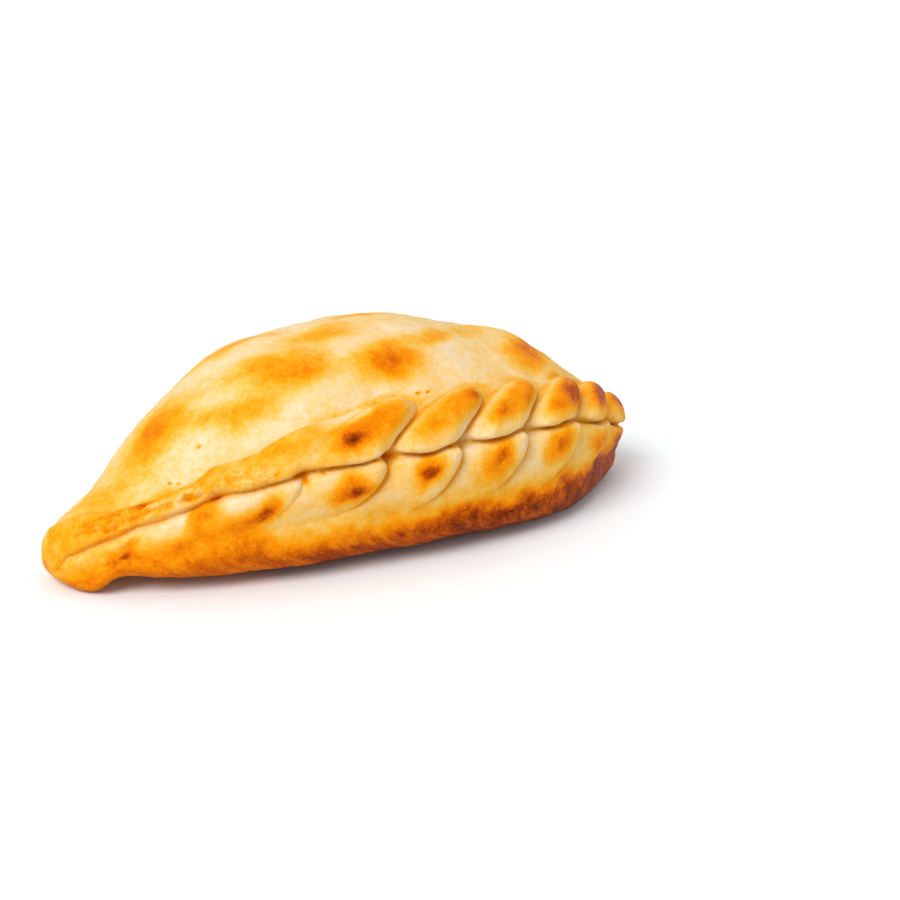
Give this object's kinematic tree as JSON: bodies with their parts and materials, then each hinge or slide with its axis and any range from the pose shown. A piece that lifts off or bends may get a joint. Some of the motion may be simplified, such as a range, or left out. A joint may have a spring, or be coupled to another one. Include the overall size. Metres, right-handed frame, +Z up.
{
  "type": "baked empanada",
  "caption": "Baked half-moon turnover of golden dough, pinched shut along the front in a rope-like crimp, lying on its flat underside.",
  "frame": {"origin": "on the table, under the middle of the empanada's bounding box", "axes": "+X along the empanada from its drooping tip, the crimped seam faces -Y, +Z up"},
  "size_m": [0.1352, 0.0668, 0.0424],
  "materials": {
    "baked_crust": "baked dough, matte with a faint sheen on the browned spots"
  },
  "bodies": {
    "root": {"empanada": "baked_crust"}
  },
  "joints": []
}
